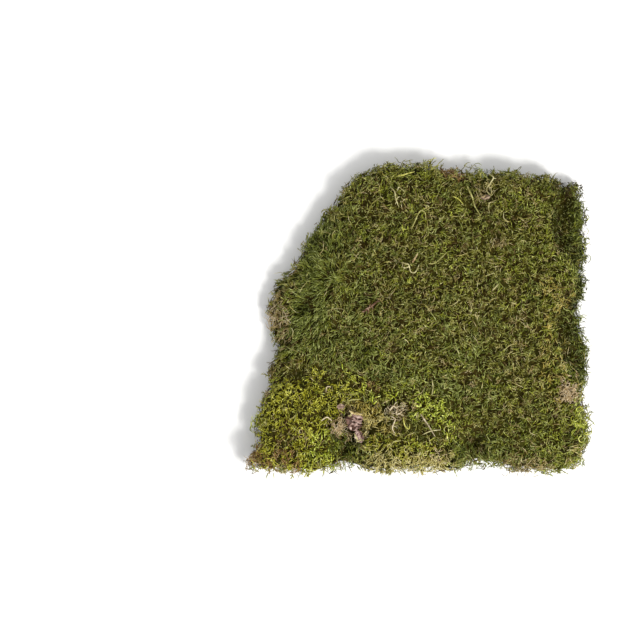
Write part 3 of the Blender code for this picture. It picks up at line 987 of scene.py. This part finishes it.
def addStem(name):
    # the solid's own line made smooth, with low knots and a finer end
    finish, share = stems[name]
    middle, radius = spine(name)
    line = smoothLine(np.column_stack([middle, radius]), stemValues["ringsPerRun"])
    t = np.linspace(0.0, 1.0, len(line))
    knots = 1.0 + stemValues["knots"] * np.sin(19.0 * t + len(name)) * np.sin(31.0 * t)
    taper = 1.0 - stemValues["taper"] * np.abs(2.0 * t - 1.0) ** 8
    radius = line[:, 3] * knots * taper * share
    made = [(*roundTube(line[:, :3], radius, stemValues["sides"]), None)]
    for place, heading, length, finer in forks.get(name, []):
        start = int(place * (len(line) - 1))
        path = forkLine(line[start, :3], math.radians(heading), length * mm)
        narrower = np.linspace(1.0, stemValues["forkTip"], stemValues["forkSteps"])
        made.append((*roundTube(path, radius[start] * finer * narrower, stemValues["forkSides"]), None))
    placePiece(name + "_fine", joined(made), litterFinishes[finish], name)


def forkLine(start, heading, length):
    # places from the stem outward, bowed to one side and up
    t = np.linspace(0.0, 1.0, stemValues["forkSteps"])[:, None]
    ahead = np.array([math.cos(heading), math.sin(heading), stemValues["forkRise"]])
    aside = np.array([-math.sin(heading), math.cos(heading), 0.5])
    return start + (t * ahead + stemValues["forkBow"] * np.sin(math.pi * t) * aside) * length


for name in stems:
    addStem(name)


# finish, number of ridges across, height of the crumpling in millimetres
leaves = {
    # the folded leaf's umber sheet shows between its mauve folds: its own dark brown and painted shade in the
    # creases
    "leaf_folded": ("umber", 5.0, 0.5),
    "leaf_curled": ("mauve", 2.0, 0.45),
    "leaf_scrap": ("dusk", 2.0, 0.45),
    "leaf_tan": ("dusk", 3.0, 0.55),
}
# Each fold of a leaf runs between two places on its sheet, -1 to 1 along it and across it:
# start, end, bow and width and lift in millimetres, finish
folds = {
    "leaf_folded": [
        ((0.86, -0.80), (0.90, 0.95), 1.5, 3.4, 0.9, "tan"),
        ((0.58, -0.95), (0.66, 0.62), 1.0, 2.8, 1.5, "mauve"),
        ((0.38, -0.98), (0.44, 0.50), -0.8, 2.4, 1.2, "mauve"),
        ((0.16, -0.90), (0.26, 0.44), 0.9, 2.6, 1.6, "mauve"),
        ((-0.06, -0.95), (0.02, 0.36), -0.6, 2.4, 1.1, "mauve"),
        ((0.10, -0.30), (-0.52, -0.05), 1.2, 2.6, 1.7, "mauve"),
        ((-0.28, -0.80), (-0.22, 0.40), 0.8, 2.2, 1.0, "mauve"),
        ((-0.34, 0.30), (-0.92, 0.10), -1.0, 2.4, 1.3, "mauve"),
        ((-0.50, -0.60), (-0.95, -0.20), 0.8, 2.0, 0.9, "mauve"),
        ((0.70, 0.55), (0.30, 0.85), 0.7, 1.8, 1.0, "cream"),
    ],
    "leaf_curled": [
        ((0.80, 0.95), (-0.70, 1.00), 1.4, 1.7, 1.2, "cream"),
        ((-0.66, 1.00), (-0.85, -0.80), 1.2, 1.5, 1.0, "cream"),
        ((0.55, -0.10), (-0.45, -0.20), -0.7, 2.2, 1.0, "mauve"),
        ((0.75, -0.80), (-0.60, -0.95), -1.0, 1.6, 0.8, "umber"),
    ],
    "leaf_scrap": [((0.70, -0.6), (-0.70, 0.10), 0.7, 1.5, 0.3, "mauve")],
    "leaf_tan": [((0.85, 0.20), (-0.40, -0.30), 0.9, 1.5, 0.7, "beige"),
                 ((0.20, 0.90), (-0.80, 0.40), 0.6, 1.2, 0.4, "tan")],
}
leafValues = {
    "steps": (34, 26),
    "thickness": 0.22 * mm,
    "ragged": 0.24,
    "nearness": 1.3 * mm,
    "foldSteps": (22, 9),
}


def thickened(sheet):
    # a grid of points made a closed sheet: a copy half the thickness to either side, and a rim
    across = np.cross(np.gradient(sheet, axis=0), np.gradient(sheet, axis=1))
    shift = unit(across) * leafValues["thickness"] / 2
    rows, columns = sheet.shape[:2]
    index = np.arange(rows * columns).reshape(rows, columns)
    a, b, c, d = (index[:-1, :-1], index[1:, :-1], index[1:, 1:], index[:-1, 1:])
    face = np.concatenate([np.stack([a, b, c], -1).reshape(-1, 3), np.stack([a, c, d], -1).reshape(-1, 3)])
    rim = np.concatenate([index[:-1, 0], index[-1, :-1], index[:0:-1, -1], index[0, :0:-1]])
    after = np.roll(rim, -1)
    under = rows * columns
    wall = np.concatenate([np.stack([rim, rim + under, after], -1),
                           np.stack([after, rim + under, after + under], -1)])
    points = np.concatenate([(sheet + shift).reshape(-1, 3), (sheet - shift).reshape(-1, 3)])
    return points, np.concatenate([face, face[:, ::-1] + under, wall])


class LeafPlace:
    # the long axis of a leaf's solid, its reach either way, and its height by nearness
    def __init__(self, name):
        self.points = readSurface(name)[0]
        flat = self.points[:, :2]
        self.centre = flat.mean(0)
        self.axes = np.linalg.eigh(np.cov((flat - self.centre).T))[1][:, ::-1]
        self.axes = self.axes * np.where(self.axes[1, 0] < 0, -1.0, 1.0)
        self.half = np.abs((flat - self.centre) @ self.axes).max(0)

    def flat(self, u, v):
        long = (u * self.half[0])[..., None] * self.axes[:, 0]
        return self.centre + long + (v * self.half[1])[..., None] * self.axes[:, 1]

    def height(self, flat):
        away = np.linalg.norm(flat[..., None, :] - self.points[:, :2], axis=-1)
        near = np.exp(-((away / leafValues["nearness"]) ** 2)) + 1e-9
        return (near * self.points[:, 2]).sum(-1) / near.sum(-1)


def addLeaf(name):
    # a sheet laid over the solid's height, torn at its edge and drawn into ridges
    finish, ridges, crumple = leaves[name]
    leaf = LeafPlace(name)
    u, v = np.meshgrid(*(np.linspace(-1.0, 1.0, n) for n in leafValues["steps"]), indexing="ij")
    torn = 1.0 + leafValues["ragged"] * np.sin(7.0 * u + 3.0 * v) * np.sin(12.0 * u - 5.0 * v + 1.0)
    width = (1.0 - 0.62 * np.abs(u) ** 2.6) * torn
    flat = leaf.flat(u * (1.0 - 0.12 * v**2), v * width)
    ridge = np.abs(np.sin(math.pi * ridges * (u + 0.16 * np.sin(4.0 * v)) + 0.6 * v))
    fine = 0.35 * np.sin(23.0 * u + 11.0 * v) * np.sin(17.0 * v - 9.0 * u)
    z = leaf.height(flat) + crumple * mm * (ridge + fine - 0.4)
    made = (*thickened(np.dstack([flat, z])), None)
    placePiece(name + "_sheet", made, litterFinishes[finish], name)
    for number, fold in enumerate(folds[name], 1):
        made = (*thickened(foldSheet(leaf, number, *fold[:5])), None)
        placePiece(f"{name}_fold_{number}", made, litterFinishes[fold[5]], name)


def foldSheet(leaf, number, start, end, bow, width, lift):
    # an arched strip that bows aside, narrows to its ends, and ripples along its edges
    rows, columns = leafValues["foldSteps"]
    t, s = np.meshgrid(np.linspace(0.0, 1.0, rows), np.linspace(-1.0, 1.0, columns), indexing="ij")
    first, last = (leaf.flat(np.array(u), np.array(v)) for u, v in (start, end))
    run = (last - first) / np.linalg.norm(last - first)
    aside = np.array([-run[1], run[0]])
    arc = np.sin(math.pi * t)
    edge = 1.0 + 0.22 * np.sin(17.0 * t + 2.0 * number + s)
    half = 0.5 * width * mm * (0.30 + 0.70 * arc**0.7) * edge
    wander = bow * arc + 0.35 * np.sin(9.0 * t + number)
    flat = first + t[..., None] * (last - first) + (wander * mm + s * half)[..., None] * aside
    arch = 0.34 * width * (1.0 - s**2) * (0.5 + 0.5 * arc)
    ripple = 0.22 * np.sin(21.0 * t + 3.0 * s + number) + 0.14 * np.sin(33.0 * t - 7.0 * s)
    z = leaf.height(flat) + (lift * arc**0.5 + arch + ripple) * mm
    return np.dstack([flat, z])


for name in leaves:
    addLeaf(name)


print("wisps")
# Loose strands: middle in millimetres, spread, count, kind, length, radius, curl in degrees
tangles = [
    (166, -112, 6, 14, "lime", (10, 19), (0.55, 0.80), 360),
    (166, -110, 8, 12, "fresh", (12, 22), (0.55, 0.85), 280),
    (166, -97, 5, 8, "fresh", (12, 20), (0.45, 0.65), 420),
    (160, -141, 6, 8, "pale", (9, 15), (0.35, 0.55), 120),
    (-81, -113, 6, 34, "beige", (7, 13), (0.22, 0.36), 240),
    (-73, -125, 5, 12, "beige", (9, 14), (0.26, 0.44), 200),
    (-24, -98, 6, 8, "beige", (9, 16), (0.26, 0.42), 120),
    (-32, -96, 3, 8, "cream", (3, 7), (0.22, 0.36), 140),
    (-25, -95, 3, 8, "cream", (3, 7), (0.22, 0.36), 140),
    (-18, -92, 3, 8, "cream", (3, 7), (0.22, 0.36), 140),
    (52, 157, 8, 14, "olive", (7, 12), (0.34, 0.56), 160),
    (63, 156, 5, 12, "green", (7, 11), (0.34, 0.56), 160),
    (102, 151, 12, 18, "olive", (7, 12), (0.34, 0.56), 160),
    (-84, -114, 7, 44, "beige", (4, 8), (0.24, 0.40), 120),
    (73, 139, 5, 16, "pale", (4, 8), (0.26, 0.44), 220),
    (38, 151, 4, 14, "rust", (7, 12), (0.30, 0.46), 220),
    (-30, -113, 7, 7, "pale", (8, 14), (0.26, 0.42), 300),
    (-148, 0, 10, 44, "beige", (9, 16), (0.26, 0.42), 220),
    (-174, -149, 6, 22, "rust", (9, 16), (0.30, 0.50), 160),
    (-165, -146, 9, 6, "tan", (10, 16), (0.34, 0.50), 240),
    (-160, -142, 8, 8, "yellow", (7, 12), (0.40, 0.60), 160),
    (-84, -157, 9, 24, "green", (8, 14), (0.36, 0.58), 120),
    (-80, -156, 8, 14, "brown", (8, 14), (0.36, 0.58), 120),
    (62, -154, 8, 20, "green", (8, 14), (0.36, 0.58), 120),
    (58, -153, 8, 12, "brown", (8, 14), (0.36, 0.58), 120),
    (-176, -108, 7, 10, "lime", (10, 15), (0.45, 0.65), 160),
    (70, 135, 9, 14, "dead", (8, 15), (0.25, 0.42), 220),
    (78, 75, 6, 12, "dead", (7, 12), (0.25, 0.40), 220),
    (65, 124, 6, 18, "dead", (5, 9), (0.22, 0.36), 220),
    (154, -80, 8, 60, "beige", (4, 9), (0.24, 0.38), 200),
    (110, -152, 14, 18, "dead", (8, 14), (0.26, 0.42), 220),
    (-5, -150, 24, 40, "pale", (8, 15), (0.30, 0.50), 220),
    (19, -143, 6, 14, "beige", (5, 10), (0.26, 0.42), 200),
    (-41, -139, 6, 10, "pale", (6, 11), (0.26, 0.42), 200),
    (16, 162, 9, 10, "yellow", (10, 17), (0.40, 0.60), 120),
    (-20, 160, 12, 12, "olive", (10, 16), (0.40, 0.60), 120),
    (174, 84, 20, 16, "fresh", (8, 15), (0.40, 0.62), 160),
    (172, 0, 20, 18, "green", (8, 15), (0.40, 0.60), 160),
    (-70, -144, 7, 10, "fresh", (7, 12), (0.40, 0.60), 160),
    (-157, -79, 3, 14, "beige", (3, 6), (0.24, 0.36), 160),
    (4, 110, 2.0, 6, "lime", (3, 6), (0.42, 0.62), 120),
    (-16, 92, 2.5, 6, "lime", (3, 6), (0.42, 0.62), 120),
    (32, 108, 2.0, 4, "lime", (3, 5), (0.42, 0.60), 120),
    (33, 51, 1.5, 4, "lime", (3, 5), (0.42, 0.60), 120),
    (50, 50, 1.5, 4, "lime", (3, 5), (0.42, 0.60), 120),
    (-11, 36, 2.0, 5, "lime", (3, 6), (0.42, 0.62), 120),
    (103, 128, 2.5, 5, "lime", (4, 7), (0.42, 0.62), 120),
    (-56, -108, 8, 22, "tan", (8, 14), (0.26, 0.40), 260),
]
# Single strands: start in millimetres, heading, length, radius, curl in degrees, kind
strays = [
    (12, 157, 60, 14, 0.62, -30, "olive"), (15, 163, 20, 6, 0.50, 40, "olive"),
    (166, -75, -55, 14, 0.55, 30, "green"), (170, -60, -30, 10, 0.50, -60, "green"),
    (155, -133, -40, 13, 0.45, 20, "beige"), (166, -131, -120, 13, 0.40, -30, "beige"),
    (160, -137, -8, 12, 0.40, 40, "pale"), (136, -156, -60, 9, 0.60, 30, "green"),
    (-156, -160, -100, 9, 0.60, 40, "lime"), (-151, -160, -70, 8, 0.50, -30, "yellow"),
    (-51, 114, 74, 16, 0.48, -20, "pale"), (-38, 154, -78, 13, 0.55, 24, "pale"),
    (63, 41, 0, 16, 0.36, 10, "pale"), (62, 41, -92, 11, 0.36, 16, "pale"),
    (36, 63, 4, 14, 0.38, -14, "pale"), (98, 8, 70, 12, 0.45, 20, "lime"),
    (-24, -84, 30, 12, 0.40, 40, "pale"), (118, -84, 100, 11, 0.42, 30, "lime"),
    (-122, -119, 180, 11, 0.42, 320, "beige"), (-14, -86, -28, 15, 0.55, 12, "lime"),
    (-6, -99, 24, 14, 0.50, -16, "lime"),
]
# strands laid everywhere: how many, the share of each kind, and their length and radius in
# millimetres; then what all loose strands have in common
wispValues = {
    "everywhere": 280,
    "shares": {"dead": 0.26, "pale": 0.22, "olive": 0.34, "brown": 0.18},
    "length": (8.0, 20.0),
    "radius": (0.26, 0.46),
    "curl": 1.6,
    "steps": 9,
    "leafy": 0.15,
    "tone": (0.25, 0.95),
    "wobble": 0.22,
    "lift": (0.2, 1.6),
    "crowding": 0.6,
    "reach": 3.5 * mm,
    "beyond": 6.0 * mm,
    "droop": 0.35,
}
upper = matNormals[:, 2] > 0.15
upperPoints = matPoints[upper]


def tipHeight(x, y):
    # the clump's height by nearness, falling away outside its edge
    high = np.empty(len(x))
    for some in np.array_split(np.arange(len(x)), max(1, len(x) // 500)):
        square = squares(x[some], y[some], upperPoints)
        nearest = square.min(1, keepdims=True)
        near = np.exp((nearest - square) / wispValues["reach"] ** 2)
        level = (near * upperPoints[:, 2]).sum(1) / near.sum(1)
        outside = np.maximum(np.sqrt(nearest[:, 0]) - wispValues["beyond"], 0.0)
        high[some] = level - outside * wispValues["droop"]
    return high


def ontoClump(x, y):
    # a place outside the clump moves to the nearest point of it
    square = squares(x, y, upperPoints)
    nearest = upperPoints[square.argmin(1)]
    outside = np.sqrt(square.min(1)) > wispValues["reach"]
    return np.where(outside, nearest[:, 0], x), np.where(outside, nearest[:, 1], y)


def growWisps(x, y, turn, length, radius, curl):
    # each strand turns steadily as it runs, with small chance turns, and lies on the tips
    count, steps = len(x), wispValues["steps"]
    step = np.arange(steps) / (steps - 1)
    wobble = np.cumsum(rng.normal(size=(count, steps)) * wispValues["wobble"], axis=1)
    angle = turn[:, None] + curl[:, None] * (step - 0.5) + wobble
    px = x[:, None] + np.cumsum(np.cos(angle), 1) * length[:, None] / steps
    py = y[:, None] + np.cumsum(np.sin(angle), 1) * length[:, None] / steps
    level = tipHeight(px.ravel(), py.ravel()).reshape(count, steps)
    rise = between(*wispValues["lift"], count) * mm * np.sin(math.pi * step) ** 0.5
    paths = np.stack([px, py, level + rise], -1)
    facing = np.tile(upward, (count, 1))
    tone = rng.uniform(*wispValues["tone"], count)
    return clothe(paths, radius, wispValues["leafy"], facing, tone)


def addWisps():
    # the tangles in their places, then strands everywhere, joined by kind
    made = {}
    for mx, my, wide, count, kind, lengths, radii, curl in tangles:
        x = (mx + rng.normal(size=count) * wide * wispValues["crowding"]) * mm
        y = (my + rng.normal(size=count) * wide * wispValues["crowding"]) * mm
        x, y = ontoClump(x, y)
        turn = anyTurn(count)
        length, radius = rng.uniform(*lengths, count) * mm, rng.uniform(*radii, count) * mm
        bend = np.radians(curl) * rng.uniform(-1.0, 1.0, count)
        x, y = x - np.cos(turn) * length / 2, y - np.sin(turn) * length / 2
        made.setdefault(kind, []).append(growWisps(x, y, turn, length, radius, bend))
    for sx, sy, heading, length, radius, curl, kind in strays:
        one = (sx * mm, sy * mm, math.radians(heading), length * mm, radius * mm, math.radians(curl))
        made.setdefault(kind, []).append(growWisps(*(np.array([value]) for value in one)))
    for kind, share in wispValues["shares"].items():
        count = int(wispValues["everywhere"] * share)
        place = spread(count, np.where(matUpward > 0.5, 1.0, 0.0))[0]
        turn = anyTurn(count)
        length = rng.uniform(*wispValues["length"], count) * mm
        radius = rng.uniform(*wispValues["radius"], count) * mm
        bend = rng.normal(size=count) * wispValues["curl"]
        grown = growWisps(place[:, 0], place[:, 1], turn, length, radius, bend)
        made.setdefault(kind, []).append(grown)
    for kind, grown in made.items():
        placePiece("wisps_" + kind, joined(grown), finishes[kind], "moss_mat")


addWisps()


print("rim")
rimValues = {
    "fronds": 240,
    "above": 15.0 * mm,
    "facing": (0.1, 0.8),
    "tipOut": (0.5, 4.0),
    "outward": 1.5,
    "wander": 0.5,
}


def addRim():
    # fronds that lean out over the upper part of the edge
    height = matPoints[matTriangles, 2].mean(1)
    low, high = rimValues["facing"]
    chosen = (matUpward > low) & (matUpward < high) & (height > rimValues["above"])
    place, facing = spread(rimValues["fronds"], np.where(chosen, 1.0, 0.0))
    kind = kindAt(place)
    kind[kind == "brown"] = "olive"
    out = unit(facing * np.array([1.0, 1.0, 0.0]))
    wander = rimValues["wander"] * rng.normal(size=out.shape) * np.array([1.0, 1.0, 0.4])
    way = unit(rimValues["outward"] * out + wander)
    reach = rng.uniform(*rimValues["tipOut"], len(place)) * mm
    for name, values in kinds.items():
        some = np.flatnonzero(kind == name)
        if len(some):
            made = growFronds(place[some], facing[some], way[some], values, reach[some])
            placePiece("rim_" + name, made, finishes[name], "moss_mat")


addRim()


print("underside")
# length, radius and height above the ground in millimetres
undersideValues = {
    "stems": 850,
    "length": (10.0, 24.0),
    "radius": (0.35, 0.6),
    "height": (0.7, 1.9),
    "lowest": 0.65 * mm,
    "drawnIn": 0.97,
    "steps": 4,
    "bow": 0.2,
    "leafy": 0.15,
    "tone": (0.1, 0.8),
    "paleShare": 0.35,
}


def addUnderside():
    # brown and pale dead stems that lie flat on the underside of the core
    count = undersideValues["stems"]
    place = spread(count, np.where(underneath, 1.0, 0.0))[0]
    turn = anyTurn(count)
    length = rng.uniform(*undersideValues["length"], count) * mm
    way = np.column_stack([np.cos(turn), np.sin(turn), np.zeros(count)]) * length[:, None] / 2
    place = place * undersideValues["drawnIn"]
    place[:, 2] = rng.uniform(*undersideValues["height"], count) * mm
    aside = np.column_stack([-np.sin(turn), np.cos(turn), np.zeros(count)])
    bow = rng.normal(size=(count, 1)) * undersideValues["bow"]
    middle = place + aside * bow * length[:, None]
    paths = bent(place - way, middle, place + way, undersideValues["steps"])
    radius = rng.uniform(*undersideValues["radius"], count) * mm
    facing = np.tile(upward, (count, 1))
    tone = rng.uniform(*undersideValues["tone"], count)
    pale = rng.random(count) < undersideValues["paleShare"]
    leafy, lowest = undersideValues["leafy"], undersideValues["lowest"]
    for name, some in (("brown", ~pale), ("dead", pale)):
        made = clothe(paths[some], radius[some], leafy, facing[some], tone[some], lowest)
        placePiece("underside_" + name, made, finishes[name], "moss_mat")


addUnderside()
